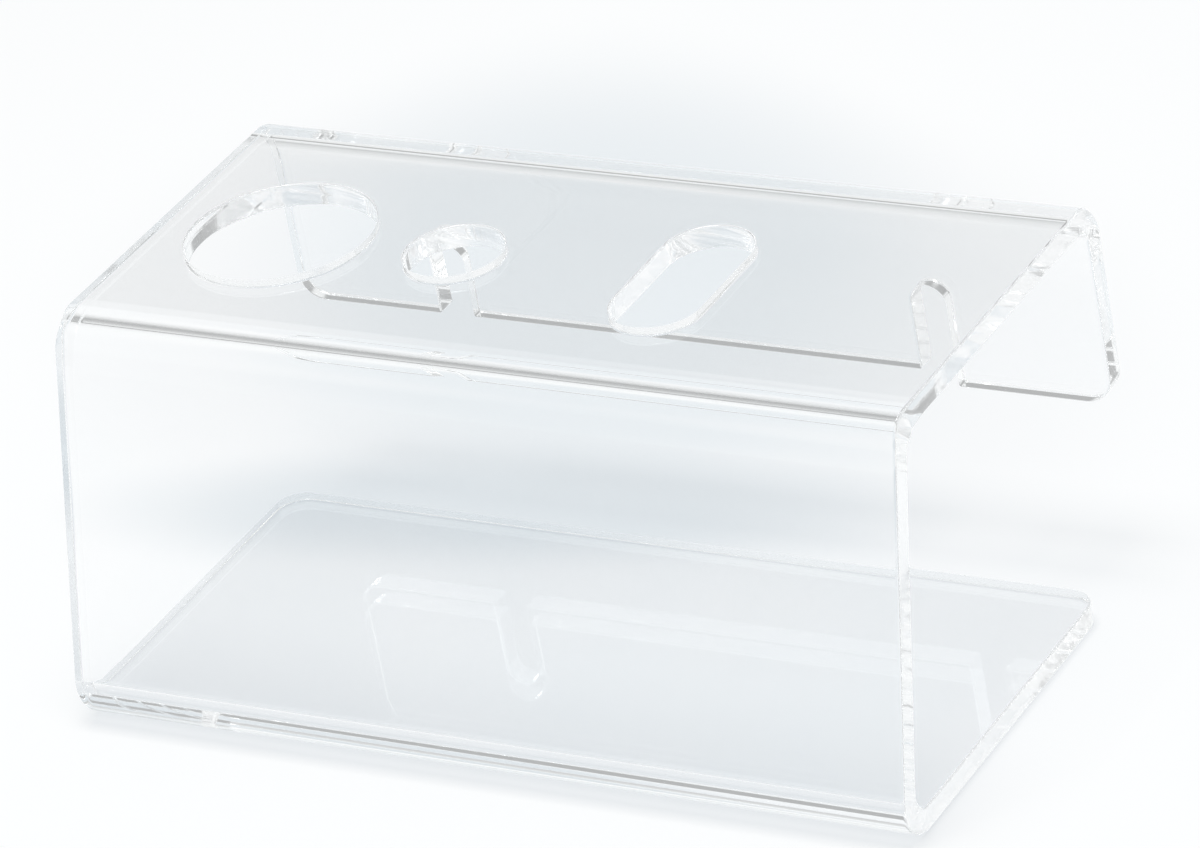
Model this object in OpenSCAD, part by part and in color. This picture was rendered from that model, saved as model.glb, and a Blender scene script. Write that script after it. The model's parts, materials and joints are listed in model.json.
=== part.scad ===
// Clear desk organizer for manicure tools.
// One sheet of acrylic, bent on three lines: base, leaning front wall, top and hanging rear lip.
// The sheet is split where its flats meet its bends, so each zone is a simple solid of its own.
// Lengths are in millimetres. X runs along the width, Y to the rear, Z up from the table.

/* [Sheet] */
// Length of every bend, and so the width of the organizer
width = 220; // [190:1:300]
// Thickness of the acrylic sheet
sheet_t = 6; // [4:0.5:8]
// Inside radius of the three bends
bend_r = 4; // [2:0.5:9]
// Radius of the free corners of the base and of the rear lip
corner_r = 7; // [2:0.5:12]

/* [Body] */
// Height of the top face above the table
height = 98; // [80:1:140]
// Angle by which the front wall leans back over the base, in degrees
wall_lean = 15; // [0:1:20]
// Depth of the base, from the corner line of its outer faces to its rear edge
base_depth = 105; // [80:1:150]
// Depth of the top, from the corner line of its outer faces to the outer face of the rear lip
top_depth = 104; // [90:1:150]
// Drop of the rear lip, from the top face to its lower edge
lip_drop = 53; // [42:1:65]

/* [Tool holes] */
// Diameter of the large round hole
large_hole_d = 46; // [30:0.5:52]
// Distance of the large hole's centre from the left end
large_hole_x = 33.5; // [30:0.5:40]
// Diameter of the small round hole
small_hole_d = 24; // [14:0.5:30]
// Distance of the small hole's centre from the left end
small_hole_x = 81; // [78:0.5:95]
// Width of the slot with round ends
slot_w = 22; // [12:0.5:28]
// Length of the slot from end to end, front to rear
slot_l = 47; // [36:0.5:56]
// Distance of the slot's centre from the left end
slot_x = 141.5; // [120:0.5:160]

/* [Cord notches] */
// Width of each notch in the rear lip
notch_w = 9; // [5:0.5:14]
// Depth of each notch, from the lip's lower edge to the top of its round end
notch_l = 23; // [14:0.5:27]
// Distance of each notch's centre line from the nearer end of the lip
notch_x = 44.5; // [30:0.5:70]

/* [Hidden] */
$fn = 96;
acrylic = [0.86, 0.92, 0.95, 0.45];

// Outside radius of the bends, and the turn of each
bend_ro = bend_r + sheet_t;
base_turn = 90 + wall_lean;
front_turn = 90 - wall_lean;
rear_turn = 90;

// Setback of a bend: from the corner line of the outer faces to where the flat begins
function setback(turn) = bend_ro * tan(turn / 2);
base_setback = setback(base_turn);
front_setback = setback(front_turn);
rear_setback = setback(rear_turn);

// Outer corner lines in the side view, from the base's own corner line at 0
front_corner_y = height * tan(wall_lean);
rear_face_y = front_corner_y + top_depth;
wall_l = height / cos(wall_lean);

// The foremost point is on the base's bend, the rearmost on the lip or the base
front_y = base_setback - bend_ro;
rear_y = max(rear_face_y, base_depth);
middle_y = (front_y + rear_y) / 2;

// Flat lengths between the bends
wall_flat_l = wall_l - base_setback - front_setback;
top_flat_y = front_corner_y + front_setback;
top_flat_l = top_depth - front_setback - rear_setback;
lip_flat_l = lip_drop - rear_setback;

// The tool holes lie in one row, half way between the front corner line and the lip's inner face
hole_row_y = front_corner_y + (top_depth - sheet_t) / 2;
left_end = -width / 2;
through = 2;

// Moves the side view's corner line so that the origin is under the middle of the organizer
module placed() {
    translate([0, -middle_y, 0]) children();
}

// Turns a side view, drawn with depth along X and height along Y, upright and runs it along the width
module from_side() {
    rotate([90, 0, 90]) children();
}

// A bend of the sheet about its own axis, from the direction "start" on through "turn" degrees
module bend(axis_y, axis_z, start, turn) {
    from_side() translate([axis_y, axis_z, 0]) rotate([0, 0, start])
        rotate_extrude(angle = turn) translate([bend_r, -width / 2]) square([sheet_t, width]);
}

// A flat panel that starts at y = 0 and has its two far corners rounded
module panel_outline(length) {
    translate([left_end, 0]) square([width, length - corner_r]);
    translate([left_end + corner_r, 0]) square([width - 2 * corner_r, length]);
    for (side = [-1, 1]) {
        translate([side * (width / 2 - corner_r), length - corner_r]) circle(r = corner_r);
    }
}

// A slot with round ends, along Y, with its middle at the origin
module slot_outline(slot_width, slot_length) {
    straight = slot_length - slot_width;
    translate([-slot_width / 2, -straight / 2]) square([slot_width, straight]);
    for (end = [-1, 1]) {
        translate([0, end * straight / 2]) circle(d = slot_width);
    }
}

// A round hole straight through the top
module tool_hole(centre_x, diameter) {
    translate([left_end + centre_x, hole_row_y, height - sheet_t - through])
        cylinder(d = diameter, h = sheet_t + 2 * through);
}

// The notch that is open at the far edge of a panel of the given length
module notch_outline(length) {
    translate([0, length]) slot_outline(notch_w, 2 * notch_l);
}

// The flat that the organizer stands on
module base_plate() {
    color(acrylic) placed() translate([0, base_setback, 0])
        linear_extrude(sheet_t) panel_outline(base_depth - base_setback);
}

// The bend that turns the base up into the front wall
module base_bend() {
    color(acrylic) placed() bend(base_setback, bend_ro, 180 - wall_lean, base_turn);
}

// The plain front wall, which leans back
module front_wall() {
    color(acrylic) placed() from_side() rotate([0, 0, 90 - wall_lean])
        translate([base_setback, -sheet_t, -width / 2]) cube([wall_flat_l, sheet_t, width]);
}

// The bend that turns the front wall back into the top
module top_front_bend() {
    color(acrylic) placed() bend(top_flat_y, height - bend_ro, 90, front_turn);
}

// The top, with its two round holes and its slot
module top_plate() {
    color(acrylic) placed() difference() {
        translate([left_end, top_flat_y, height - sheet_t]) cube([width, top_flat_l, sheet_t]);
        tool_hole(large_hole_x, large_hole_d);
        tool_hole(small_hole_x, small_hole_d);
        translate([left_end + slot_x, hole_row_y, height - sheet_t - through])
            linear_extrude(sheet_t + 2 * through) slot_outline(slot_w, slot_l);
    }
}

// The bend that turns the top down into the rear lip
module top_rear_bend() {
    color(acrylic) placed() bend(rear_face_y - bend_ro, height - bend_ro, 0, rear_turn);
}

// The rear lip, with its two cord notches open at the lower edge
module rear_lip() {
    color(acrylic) placed() translate([0, rear_face_y - sheet_t, height - rear_setback]) rotate([-90, 0, 0])
        linear_extrude(sheet_t) difference() {
            panel_outline(lip_flat_l);
            for (side = [-1, 1]) {
                translate([side * (width / 2 - notch_x), 0]) notch_outline(lip_flat_l);
            }
        }
}

base_plate();
base_bend();
front_wall();
top_front_bend();
top_plate();
top_rear_bend();
rear_lip();
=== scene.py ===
import json
import math

import bpy
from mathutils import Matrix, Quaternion, Vector
from mathutils.geometry import tessellate_polygon


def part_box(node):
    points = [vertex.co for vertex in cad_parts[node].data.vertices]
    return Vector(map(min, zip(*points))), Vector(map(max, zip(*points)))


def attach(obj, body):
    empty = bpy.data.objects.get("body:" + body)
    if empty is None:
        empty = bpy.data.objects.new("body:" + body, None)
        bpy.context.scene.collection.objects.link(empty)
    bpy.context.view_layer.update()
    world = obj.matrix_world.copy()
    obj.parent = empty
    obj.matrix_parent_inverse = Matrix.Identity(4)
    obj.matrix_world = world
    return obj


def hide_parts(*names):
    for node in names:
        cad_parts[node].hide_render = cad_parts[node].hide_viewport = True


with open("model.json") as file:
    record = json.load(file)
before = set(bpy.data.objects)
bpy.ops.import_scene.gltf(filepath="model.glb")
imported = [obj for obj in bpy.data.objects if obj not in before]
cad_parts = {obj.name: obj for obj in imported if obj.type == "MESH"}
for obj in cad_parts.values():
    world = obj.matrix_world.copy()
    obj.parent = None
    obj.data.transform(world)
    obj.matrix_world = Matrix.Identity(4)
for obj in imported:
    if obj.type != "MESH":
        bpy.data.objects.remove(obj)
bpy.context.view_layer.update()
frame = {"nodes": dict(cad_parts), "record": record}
scene = bpy.context.scene
scene.view_settings.view_transform = "Standard"
print("frame:", ", ".join(sorted(frame["nodes"])))


# a node socket that takes part in Python expressions, in shader and geometry trees alike
class Wire:
    def __init__(self, tree, socket=None):
        self.tree = tree
        self.socket = socket

    # settings go on first, then each socket gets a value or a link
    def node(self, kind, settings, sockets, output=0):
        made = self.tree.nodes.new(kind)
        for name, value in settings.items():
            setattr(made, name, value)
        for name, value in sockets.items():
            if isinstance(value, Wire):
                self.tree.links.new(value.socket, made.inputs[name])
            else:
                made.inputs[name].default_value = value
        if isinstance(output, (list, tuple)):
            return [Wire(self.tree, made.outputs[name]) for name in output]
        return Wire(self.tree, made.outputs[output]) if made.outputs else made

    def maths(self, operation, first, second):
        return self.node("ShaderNodeMath", {"operation": operation}, {0: first, 1: second})

    def larger(self, other):
        return self.maths("MAXIMUM", self, other)

    def __add__(self, other):
        return self.maths("ADD", self, other)

    def __radd__(self, other):
        return self.maths("ADD", other, self)

    def __sub__(self, other):
        return self.maths("SUBTRACT", self, other)

    def __rsub__(self, other):
        return self.maths("SUBTRACT", other, self)

    def __mul__(self, other):
        return self.maths("MULTIPLY", self, other)

    def __rmul__(self, other):
        return self.maths("MULTIPLY", other, self)

    def __truediv__(self, other):
        return self.maths("DIVIDE", self, other)

    def __rtruediv__(self, other):
        return self.maths("DIVIDE", other, self)

    # 0 below low, 1 above high, soft in between
    def fade(self, low, high):
        return self.node("ShaderNodeMapRange", {"interpolation_type": "SMOOTHSTEP"},
                         {"Value": self, "From Min": low, "From Max": high})

    def clip(self, low, high):
        return self.node("ShaderNodeClamp", {}, {"Value": self, "Min": low, "Max": high})

    # from the first colour at 0 to the second at 1; the colour sockets of a Mix node have these numbers
    def mixColour(self, first, second):
        return self.node("ShaderNodeMix", {"data_type": "RGBA"}, {0: self, 6: first, 7: second}, 2)


# camera: a long lens, from the front right and above, tipped clockwise; degrees, metres, lens in millimetres
view = {
    "azimuth": 33.63,
    "elevation": 28.93,
    "roll": -10.78,
    "distance": 1.6661,
    "target": (0.00279, 0.00725, 0.05592),
    "lens": 215.3,
    "sensor": 36,
    "farEnd": 50,
}


def makeCamera():
    azimuth = math.radians(view["azimuth"])
    elevation = math.radians(view["elevation"])
    back = Vector((math.sin(azimuth) * math.cos(elevation),
                   -math.cos(azimuth) * math.cos(elevation),
                   math.sin(elevation)))
    camera = bpy.data.objects.new("studioCamera", bpy.data.cameras.new("studioCamera"))
    scene.collection.objects.link(camera)
    camera.data.sensor_width = view["sensor"]
    camera.data.lens = view["lens"]
    camera.data.clip_end = view["farEnd"]
    camera.rotation_mode = "QUATERNION"
    camera.location = Vector(view["target"]) + back * view["distance"]
    tip = Quaternion((0, 0, 1), math.radians(view["roll"]))
    camera.rotation_quaternion = (-back).to_track_quat("-Z", "Y") @ tip
    scene.camera = camera
    print("camera placed")


makeCamera()


# clear cast acrylic with polished faces and flame-polished cut edges
acrylic = {
    "ior": 1.49,
    "faceTint": (0.992, 0.996, 0.998, 1),
    "hazeTint": (0.98, 0.99, 0.995, 1),
    "cloudScale": 18.0,
    "cloudDetail": 3.0,
    "cloudSpan": (0.35, 0.75),                # noise over which the haze sets in
    "faceRoughness": 0.0,
    "edgeRoughness": 0.06,
    "wipeRoughness": 0.012,
    "wipeStretch": (60.0, 1400.0, 1400.0),
    "wipeDetail": 2.0,
    "wipeSpan": (0.66, 0.8),                  # noise over which a mark sets in
    "wipePatches": (0.4, 0.7),                # and cloud over which a patch of marks does
    "rippleScale": 220.0,
    "rippleDetail": 1.0,
    "rippleStrength": 0.15,
    "rippleHeight": 0.0002,
    "edgeOnBlend": 0.35,
    "shadeFlat": (0.98, 0.985, 0.99, 1),
    "shadeEdgeOn": (0.62, 0.65, 0.68, 1),
}


def acrylicMaterial():
    material = bpy.data.materials.new("clearAcrylic")
    material.use_nodes = True
    tree = material.node_tree
    tree.nodes.clear()
    wire = Wire(tree)
    place = wire.node("ShaderNodeTexCoord", {}, {}, "Object")
    edge = wire.node("ShaderNodeAttribute", {"attribute_name": "cutEdge"}, {}, "Fac")

    # broad, faint clouds of tint, as in a cast sheet
    cloud = wire.node("ShaderNodeTexNoise", {}, {
        "Vector": place,
        "Scale": acrylic["cloudScale"],
        "Detail": acrylic["cloudDetail"],
    })
    tint = cloud.fade(*acrylic["cloudSpan"]).mixColour(acrylic["faceTint"], acrylic["hazeTint"])

    # hairline wipe marks, drawn out along the width
    combed = wire.node("ShaderNodeMapping", {}, {"Vector": place, "Scale": acrylic["wipeStretch"]})
    wipes = wire.node("ShaderNodeTexNoise", {}, {
        "Vector": combed,
        "Scale": 1.0,
        "Detail": acrylic["wipeDetail"],
    })
    wipes = wipes.fade(*acrylic["wipeSpan"]) * cloud.fade(*acrylic["wipePatches"])
    rough = acrylic["faceRoughness"] + wipes * acrylic["wipeRoughness"] + edge * acrylic["edgeRoughness"]

    # the flame leaves the cut edges softly rippled, while the faces stay flat
    ripple = wire.node("ShaderNodeTexNoise", {}, {
        "Vector": place,
        "Scale": acrylic["rippleScale"],
        "Detail": acrylic["rippleDetail"],
    })
    bump = wire.node("ShaderNodeBump", {}, {
        "Strength": acrylic["rippleStrength"],
        "Distance": acrylic["rippleHeight"],
        "Height": ripple * edge,
    })

    shader = wire.node("ShaderNodeBsdfPrincipled", {}, {
        "Base Color": tint,
        "Roughness": rough,
        "IOR": acrylic["ior"],
        "Transmission Weight": 1.0,
        "Normal": bump,
    })
    # lamps and the floor's own light pass straight through, dimmed most where the sheet stands edge on
    shadow, bounced = wire.node("ShaderNodeLightPath", {}, {}, ("Is Shadow Ray", "Is Diffuse Ray"))
    facing = wire.node("ShaderNodeLayerWeight", {}, {"Blend": acrylic["edgeOnBlend"]}, "Facing")
    flat = wire.node("ShaderNodeBsdfTransparent", {}, {"Color": acrylic["shadeFlat"]})
    edgeOn = wire.node("ShaderNodeBsdfTransparent", {}, {"Color": acrylic["shadeEdgeOn"]})
    clear = wire.node("ShaderNodeMixShader", {}, {0: facing.larger(edge) * shadow, 1: flat, 2: edgeOn})
    mixed = wire.node("ShaderNodeMixShader", {}, {0: shadow.larger(bounced), 1: shader, 2: clear})
    wire.node("ShaderNodeOutputMaterial", {}, {"Surface": mixed})
    return material


# the flat blank of the sheet, cut before it is bent
sheet = {
    "slotWidth": 0.022,
    "slotLength": 0.047,
    "slotFromLeft": 0.1415,
    "notchWidth": 0.009,
    "notchLength": 0.023,
    "notchFromEnd": 0.0445,
    "notchSteps": 32,
    "notchEase": 0.0008,      # rounding of the two corners at a notch's mouth
    "easeSteps": 4,
    "cornerRadius": 0.007,
    "rimRadius": 0.0006,      # polish rounds every cut edge
    "rimSteps": 6,
    "bendSteps": 40,
    "endFlare": 0.0005,       # squeezed acrylic stands out at the ends of each bend, on the inside
    "swelling": {"baseBend": 0.0002, "frontBend": 0.0007, "rearBend": 0.0004},  # and along its inside
    "swellingReach": 0.009,   # to each side of the bend's middle, along its inner face
    "swellingSteps": 10,
    "holeSteps": 96,
    "cornerSteps": 16,
    "closeEnough": 1e-6,
}

baseLow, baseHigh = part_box("base_plate")
bendLow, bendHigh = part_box("base_bend")
wallLow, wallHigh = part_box("front_wall")
topLow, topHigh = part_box("top_plate")
rearLow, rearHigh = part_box("top_rear_bend")
lipLow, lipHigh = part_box("rear_lip")

width = baseHigh.x - baseLow.x
thickness = baseHigh.z - baseLow.z
outerRadius = rearHigh.z - rearLow.z
middleRadius = outerRadius - thickness / 2
innerRadius = outerRadius - thickness
lean = math.asin((bendHigh.z - bendLow.z) / outerRadius - 1)
wallFlat = (wallHigh.z - wallLow.z - thickness * math.sin(lean)) / math.cos(lean)
rearEdge = baseHigh.y

# zones from the rear edge of the base to the lower edge of the lip: name, length along the sheet, turn
zones = [
    ("base", baseHigh.y - baseLow.y, 0.0),
    ("baseBend", (math.pi / 2 + lean) * middleRadius, math.pi / 2 + lean),
    ("wall", wallFlat, 0.0),
    ("frontBend", (math.pi / 2 - lean) * middleRadius, math.pi / 2 - lean),
    ("top", topHigh.y - topLow.y, 0.0),
    ("rearBend", math.pi / 2 * middleRadius, math.pi / 2),
    ("lip", lipHigh.z - lipLow.z, 0.0),
]
zoneStart = {}
sheetLength = 0.0
for zoneName, zoneLength, zoneTurn in zones:
    zoneStart[zoneName] = sheetLength
    sheetLength += zoneLength


# points of an arc with the direction that points out of the sheet there
def arc(centre, radius, start, end, steps, outward=1):
    made = []
    for step in range(steps + 1):
        angle = math.radians(start + (end - start) * step / steps)
        ray = Vector((math.cos(angle), math.sin(angle)))
        made.append((Vector(centre) + ray * radius, ray * outward))
    return made


# how far the swelling runs on into the flats beside a bend
def swellingEnd(turn):
    return sheet["swellingReach"] - innerRadius * turn / 2


# distances along the sheet where it needs a row of points across it, the same number for each bend
def bendRows():
    rows = []
    steps = sheet["bendSteps"]
    besideSteps = sheet["swellingSteps"]
    for name, length, turn in zones:
        if turn:
            start = zoneStart[name]
            beside = [swellingEnd(turn) * step / besideSteps for step in range(1, besideSteps + 1)]
            rows += [start - away for away in reversed(beside)]
            rows += [start + length * step / steps for step in range(steps + 1)]
            rows += [start + length + away for away in beside]
    return rows


# a notch with a round end, open at the lip's lower edge, from left to right
def notch(middle, low):
    half = sheet["notchWidth"] / 2
    ease = sheet["notchEase"]
    end = low + sheet["notchLength"] - half
    return (arc((middle - half - ease, low + ease), ease, 270, 360, sheet["easeSteps"])
            + arc((middle, end), half, 180, 0, sheet["notchSteps"], -1)
            + arc((middle + half + ease, low + ease), ease, 180, 270, sheet["easeSteps"]))


# the outside of the blank, anticlockwise from its rear right corner,
# and where its left and right rows lie in that loop
def outsideLoop(rows):
    half = width / 2
    radius = sheet["cornerRadius"]
    steps = sheet["cornerSteps"]
    high = rearEdge
    low = rearEdge - sheetLength
    loop = arc((half - radius, high - radius), radius, 0, 90, steps)
    loop += arc((radius - half, high - radius), radius, 90, 180, steps)
    leftStart = len(loop)
    loop += [(Vector((-half, high - row)), Vector((-1, 0))) for row in rows]
    loop += arc((radius - half, low + radius), radius, 180, 270, steps)
    loop += notch(sheet["notchFromEnd"] - half, low)
    loop += notch(half - sheet["notchFromEnd"], low)
    loop += arc((half - radius, low + radius), radius, 270, 360, steps)
    rightStart = len(loop)
    loop += [(Vector((half, high - row)), Vector((1, 0))) for row in reversed(rows)]
    left = list(range(leftStart, leftStart + len(rows)))
    right = list(reversed(range(rightStart, rightStart + len(rows))))
    return loop, left, right


# the tool holes, clockwise: round ones from the record's bores, and the slot
def holeLoops():
    def onBlank(y):
        return rearEdge - zoneStart["top"] - (y - topLow.y)

    loops = []
    rowY = 0.0
    for mount in frame["record"]["mounts"]:
        if mount["kind"] == "bore":
            x, rowY = mount["pos_m"][0], mount["pos_m"][1]
            circle = arc((x, onBlank(rowY)), mount["dims"]["r_mm"] / 1000, 360, 0, sheet["holeSteps"], -1)
            loops.append(circle[:-1])
    half = sheet["slotWidth"] / 2
    reach = sheet["slotLength"] / 2 - half
    x = sheet["slotFromLeft"] - width / 2
    y = onBlank(rowY)
    steps = sheet["holeSteps"] // 2
    loops.append(arc((x, y + reach), half, 180, 0, steps, -1) + arc((x, y - reach), half, 0, -180, steps, -1))
    return loops


# levels of a cut edge from the lower face to the upper one:
# set back, height, and share of the outward and of the upward normal
def rimLevels():
    radius = sheet["rimRadius"]
    steps = sheet["rimSteps"]
    levels = []
    for side in (-1, 1):
        for step in range(steps + 1):
            angle = math.pi / 2 * (step / steps if side > 0 else 1 - step / steps)
            height = radius * (1 - math.sin(angle))
            levels.append((radius * (1 - math.cos(angle)),
                           height if side < 0 else thickness - height,
                           math.cos(angle), side * math.sin(angle)))
    return levels


# how far the ends stand out at a place along the sheet, and how fast that changes
def flare(run):
    for name, length, turn in zones:
        share = (run - zoneStart[name]) / length
        if turn and 0 <= share <= 1:
            wave = math.pi * share
            return (sheet["endFlare"] * math.sin(wave) ** 2,
                    sheet["endFlare"] * math.sin(2 * wave) * math.pi / length)
    return 0.0, 0.0


# height of the inner swelling at a place along the sheet, and its slope once the sheet is bent
def swelling(run):
    reach = sheet["swellingReach"]
    for name, length, turn in zones:
        if not turn:
            continue
        offset = run - zoneStart[name] - length / 2
        arcShare = max(-1.0, min(1.0, 2 * offset / length))
        onArc = innerRadius * turn / 2 * arcShare
        along = onArc + offset - arcShare * length / 2
        if abs(along) < reach:
            wave = math.pi * along / reach
            size = sheet["swelling"][name] * (1 + math.cos(wave)) / 2
            slope = -sheet["swelling"][name] * math.sin(wave) * math.pi / (2 * reach)
            if abs(arcShare) < 1:
                slope *= innerRadius / (innerRadius - size)
            return size, slope
    return 0.0, 0.0


# every outline as a ring of points at each level of its cut edge, and both faces filled between them
def flatBlank():
    closeEnough = sheet["closeEnough"]
    rows = bendRows()
    outside, left, right = outsideLoop(rows)
    loops = [outside] + holeLoops()
    levels = rimLevels()
    points, normals, runs, cuts, faces = [], [], [], [], []
    rings = []
    for loop in loops:
        ring = []
        for back, height, out, up in levels:
            ring.append(list(range(len(points), len(points) + len(loop))))
            for place, ray in loop:
                x, y = place - ray * back
                run = rearEdge - y
                rise, tilt = swelling(run)
                share = height / thickness
                normal = Vector((ray.x * out, ray.y * out + max(up, 0) * tilt, up)).normalized()
                if abs(abs(ray.x) - 1) < closeEnough and abs(abs(place.x) - width / 2) < closeEnough:
                    size, slope = flare(run)
                    level = 2 * share - 1
                    x += ray.x * size * level
                    normal = Vector((normal.x, normal.y + abs(normal.x) * slope * level,
                                     normal.z - abs(normal.x) * size * 2 / thickness)).normalized()
                points.append((x, y, height + rise * share))
                normals.append(normal)
                runs.append(run)
                cuts.append(out)
        for low, high in zip(ring, ring[1:]):
            for i in range(len(loop)):
                j = (i + 1) % len(loop)
                faces.append((low[i], low[j], high[j], high[i]))
        rings.append(ring)

    # both faces of the sheet: strips in the bends, one filled outline in each flat
    under = [ring[0] for ring in rings]
    over = [ring[-1] for ring in rings]
    fills = []
    for a, b in zip(range(len(rows)), range(1, len(rows))):
        fills.append([left[a], left[b], right[b], right[a]])
    fills.append([right[0]] + list(range(left[0] + 1)))
    fills.append(list(range(left[-1], right[-1] + 1)))
    # all bends have the same number of rows, and the top begins at the last one of the second bend
    bendCount = sum(1 for name, length, turn in zones if turn)
    topRow = 2 * len(rows) // bendCount - 1
    for outline in fills:
        holes = []
        if outline[0] == left[topRow]:
            holes = [list(range(len(loop))) for loop in loops[1:]]
        for faceRings, flip in ((over, False), (under, True)):
            ids = [[faceRings[0][i] for i in outline]]
            ids += [[faceRings[k + 1][i] for i in hole] for k, hole in enumerate(holes)]
            flat = [i for part in ids for i in part]
            if len(flat) == 4:
                faces.append(tuple(reversed(flat)) if flip else tuple(flat))
                continue
            for triangle in tessellate_polygon([[Vector(points[i]) for i in part] for part in ids]):
                a, b, c = (flat[i] for i in triangle)
                cross = ((points[b][0] - points[a][0]) * (points[c][1] - points[a][1])
                         - (points[c][0] - points[a][0]) * (points[b][1] - points[a][1]))
                faces.append((a, b, c) if (cross > 0) != flip else (a, c, b))

    mesh = bpy.data.meshes.new("flatBlank")
    mesh.from_pydata(points, [], faces)
    mesh.attributes.new("run", "FLOAT", "POINT").data.foreach_set("value", runs)
    mesh.attributes.new("cutEdge", "FLOAT", "POINT").data.foreach_set("value", cuts)
    smooth = [part for normal in normals for part in normal]
    mesh.attributes.new("faceNormal", "FLOAT_VECTOR", "POINT").data.foreach_set("vector", smooth)
    print("blank:", len(points), "points,", len(faces), "faces")
    return mesh


# one heated line: what lies past Start is turned about an axis above the sheet
def lineBendTree():
    tree = bpy.data.node_groups.new("lineBend", "GeometryNodeTree")
    tree.interface.new_socket("Sheet", in_out="INPUT", socket_type="NodeSocketGeometry")
    sizes = ("Rear Edge", "Start", "Length", "Turn", "Outer Radius")
    for name in sizes:
        tree.interface.new_socket(name, in_out="INPUT", socket_type="NodeSocketFloat")
    tree.interface.new_socket("Finish", in_out="INPUT", socket_type="NodeSocketMaterial")
    tree.interface.new_socket("Sheet", in_out="OUTPUT", socket_type="NodeSocketGeometry")
    wire = Wire(tree)
    inputs = ("Sheet", *sizes, "Finish")
    value = dict(zip(inputs, wire.node("NodeGroupInput", {}, {}, inputs)))

    run = wire.node("GeometryNodeInputNamedAttribute", {"data_type": "FLOAT"}, {"Name": "run"})
    normal = wire.node("GeometryNodeInputNamedAttribute", {"data_type": "FLOAT_VECTOR"},
                       {"Name": "faceNormal"})
    place = wire.node("GeometryNodeInputPosition", {}, {})
    slide = (run - value["Start"]).clip(0.0, value["Length"])
    angle = 0.0 - slide / value["Length"] * value["Turn"]
    axis = wire.node("ShaderNodeCombineXYZ", {},
                     {"Y": value["Rear Edge"] - value["Start"], "Z": value["Outer Radius"]})
    shift = wire.node("ShaderNodeCombineXYZ", {}, {"Y": slide})
    drawn = wire.node("ShaderNodeVectorMath", {"operation": "ADD"}, {0: place, 1: shift})
    turned = wire.node("ShaderNodeVectorRotate", {"rotation_type": "X_AXIS"},
                       {"Vector": drawn, "Center": axis, "Angle": angle})
    turnedNormal = wire.node("ShaderNodeVectorRotate", {"rotation_type": "X_AXIS"},
                             {"Vector": normal, "Angle": angle})
    kept = wire.node("GeometryNodeStoreNamedAttribute", {"data_type": "FLOAT_VECTOR", "domain": "POINT"},
                     {"Geometry": value["Sheet"], "Name": "faceNormal", "Value": turnedNormal})
    moved = wire.node("GeometryNodeSetPosition", {}, {"Geometry": kept, "Position": turned})
    real = wire.node("GeometryNodeRealizeInstances", {}, {"Geometry": moved})
    coated = wire.node("GeometryNodeSetMaterial", {}, {"Geometry": real, "Material": value["Finish"]})
    wire.node("NodeGroupOutput", {}, {"Sheet": coated})
    return tree


def bentSheet(finish):
    blank = bpy.data.objects.new("flatBlank", flatBlank())
    scene.collection.objects.link(blank)
    tree = lineBendTree()
    keys = {item.name: item.identifier for item in tree.interface.items_tree if item.in_out == "INPUT"}
    # the line farthest from the base is bent first, so each later turn carries the earlier ones round
    for name, length, turn in reversed(zones):
        if not turn:
            continue
        bend = blank.modifiers.new(name, "NODES")
        bend.node_group = tree
        bend[keys["Rear Edge"]] = rearEdge
        bend[keys["Start"]] = zoneStart[name]
        bend[keys["Length"]] = length
        bend[keys["Turn"]] = turn
        bend[keys["Outer Radius"]] = outerRadius
        bend[keys["Finish"]] = finish
    mesh = bpy.data.meshes.new_from_object(blank.evaluated_get(bpy.context.evaluated_depsgraph_get()))
    bpy.data.objects.remove(blank)
    mesh.name = "bentSheet"
    mesh.shade_smooth()
    normals = [tuple(item.vector) for item in mesh.attributes["faceNormal"].data]
    mesh.normals_split_custom_set_from_vertices(normals)
    for spare in ("faceNormal", "run"):
        mesh.attributes.remove(mesh.attributes[spare])
    piece = bpy.data.objects.new("bentSheet", mesh)
    scene.collection.objects.link(piece)
    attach(piece, "root")
    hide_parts(*sorted(frame["nodes"]))
    print("sheet bent:", len(mesh.vertices), "points")
    return piece


bentSheet(acrylicMaterial())


# the floor is white, with soft pools of cool grey painted in as shade round the sheet: a faint one all round,
# a broad one behind, and a deep one just behind the base that is a painted shadow of the lip and top;
# a pool has half its length and depth in metres, a turn in degrees, and the share that its even core takes
floorLook = {
    "reach": 6.0,
    "drop": 0.0002,           # below the sheet, so that the two never share a plane
    "white": (0.965, 0.97, 0.975, 1),
    "paintedShadePools": [
        {"colour": (0.92, 0.928, 0.938, 1), "middle": (-0.0764, 0.1344, 0.0), "core": 0.60,
         "half": (0.1858, 0.1378, 1.0), "turn": -21.0},
        {"colour": (0.812, 0.847, 0.873, 1), "middle": (-0.0905, 0.1604, 0.0), "core": 0.35,
         "half": (0.1631, 0.1065, 1.0), "turn": -46.8},
        {"colour": (0.765, 0.803, 0.83, 1), "middle": (-0.0586, 0.0492, 0.0), "core": 0.35,
         "half": (0.1273, 0.0374, 1.0), "turn": 10.9},
    ],
}


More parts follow.
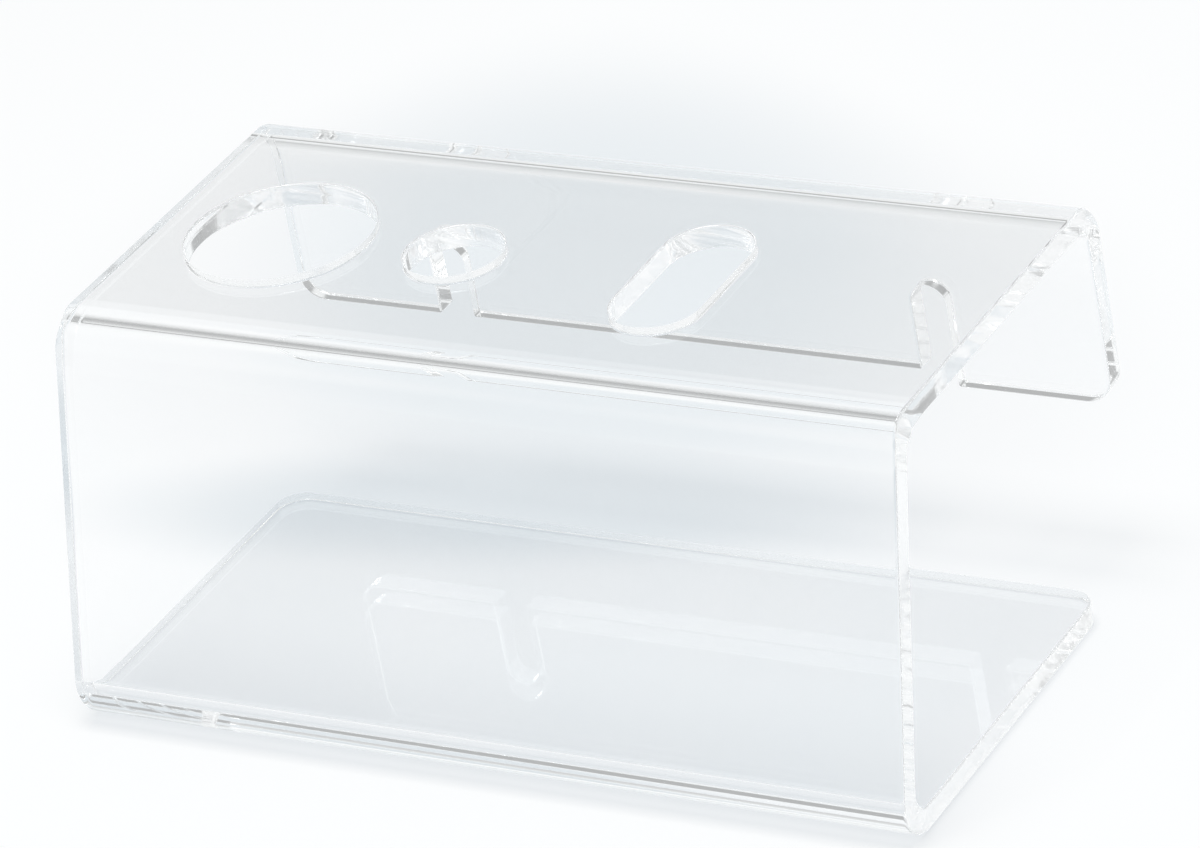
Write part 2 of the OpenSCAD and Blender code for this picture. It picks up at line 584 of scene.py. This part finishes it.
def makeFloor():
    reach = floorLook["reach"]
    mesh = bpy.data.meshes.new("studioFloor")
    mesh.from_pydata([(-reach, -reach, 0), (reach, -reach, 0), (reach, reach, 0), (-reach, reach, 0)],
                     [], [(0, 1, 2, 3)])
    floor = bpy.data.objects.new("studioFloor", mesh)
    scene.collection.objects.link(floor)
    material = bpy.data.materials.new("paleFloorPaintedShade")
    material.use_nodes = True
    tree = material.node_tree
    tree.nodes.clear()
    wire = Wire(tree)
    place = wire.node("ShaderNodeTexCoord", {}, {}, "Object")
    colour = floorLook["white"]
    # each pool mixes its painted shade into the floor's colour, fully in its core and fading out to its rim
    for shadePool in floorLook["paintedShadePools"]:
        inShadePool = wire.node("ShaderNodeMapping", {"vector_type": "TEXTURE"}, {
            "Vector": place,
            "Location": shadePool["middle"],
            "Rotation": (0.0, 0.0, math.radians(shadePool["turn"])),
            "Scale": shadePool["half"],
        })
        fromMiddle = wire.node("ShaderNodeVectorMath", {"operation": "LENGTH"}, {0: inShadePool}, "Value")
        colour = fromMiddle.fade(shadePool["core"], 1.0).mixColour(shadePool["colour"], colour)
    shader = wire.node("ShaderNodeBsdfDiffuse", {}, {"Color": colour})
    wire.node("ShaderNodeOutputMaterial", {}, {"Surface": shader})
    mesh.materials.append(material)
    floor.location.z = -floorLook["drop"]
    print("floor laid")


makeFloor()


# a white room that the sheet mirrors, with a grey cloth behind and, past a gap, round the other sides too;
# the room's light on the floor is only a fill
room = {
    "colour": (0.99, 1.0, 1.0, 1),
    "white": 1.0,
    "cloth": 0.44,
    "fill": 0.6,
    "clothLow": (6.0, 30.0),      # degrees of rise over which the cloth behind fades in
    "clothHigh": (38.0, 43.0),    # and out
    "aroundLow": (0.02, 0.2),     # height, in a direction of length 1, over which the cloth all round does
    "aroundHigh": (0.36, 0.45),
    "gapLeft": (-0.7, -0.62),     # and the two sides of its gap, to the left
    "gapRight": (-0.34, -0.24),
}


def makeRoom():
    world = bpy.data.worlds.new("whiteRoom")
    scene.world = world
    world.use_nodes = True
    tree = world.node_tree
    tree.nodes.clear()
    wire = Wire(tree)
    ray = wire.node("ShaderNodeTexCoord", {}, {}, "Generated")
    across, depth, height = wire.node("ShaderNodeSeparateXYZ", {}, {0: ray}, ("X", "Y", "Z"))
    rise = height.maths("ARCTAN2", height, depth) * (180 / math.pi)
    behind = rise.fade(*room["clothLow"]) * (1 - rise.fade(*room["clothHigh"]))
    around = height.fade(*room["aroundLow"]) * (1 - height.fade(*room["aroundHigh"]))
    gap = across.fade(*room["gapLeft"]) * (1 - across.fade(*room["gapRight"]))
    cloth = behind.larger(around * (1 - gap))
    level = room["white"] + cloth * (room["cloth"] - room["white"])
    camera, glossy, passed = wire.node("ShaderNodeLightPath", {}, {},
                                       ("Is Camera Ray", "Is Glossy Ray", "Is Transmission Ray"))
    seen = camera.larger(glossy).larger(passed)
    level = room["fill"] + seen * (level - room["fill"])
    shader = wire.node("ShaderNodeBackground", {}, {"Color": room["colour"], "Strength": level})
    wire.node("ShaderNodeOutputWorld", {}, {"Surface": shader})
    print("room lit")


makeRoom()

# one large soft lamp overhead, a little to the front
softbox = {"size": 1.2, "place": (0.0, -0.12, 2.6), "power": 31.1}


def makeSoftbox():
    lamp = bpy.data.lights.new("softbox", "AREA")
    lamp.shape = "SQUARE"
    lamp.size = softbox["size"]
    lamp.energy = softbox["power"]
    light = bpy.data.objects.new("softbox", lamp)
    scene.collection.objects.link(light)
    light.location = softbox["place"]
    light.rotation_mode = "QUATERNION"
    light.rotation_quaternion = (-Vector(softbox["place"])).to_track_quat("-Z", "Y")
    print("softbox hung")


makeSoftbox()

# long chains of inner reflections run along the clear sheet
bounces = {"all": 128, "mirrored": 128, "passed": 64}
scene.cycles.max_bounces = bounces["all"]
scene.cycles.glossy_bounces = bounces["mirrored"]
scene.cycles.transmission_bounces = bounces["passed"]
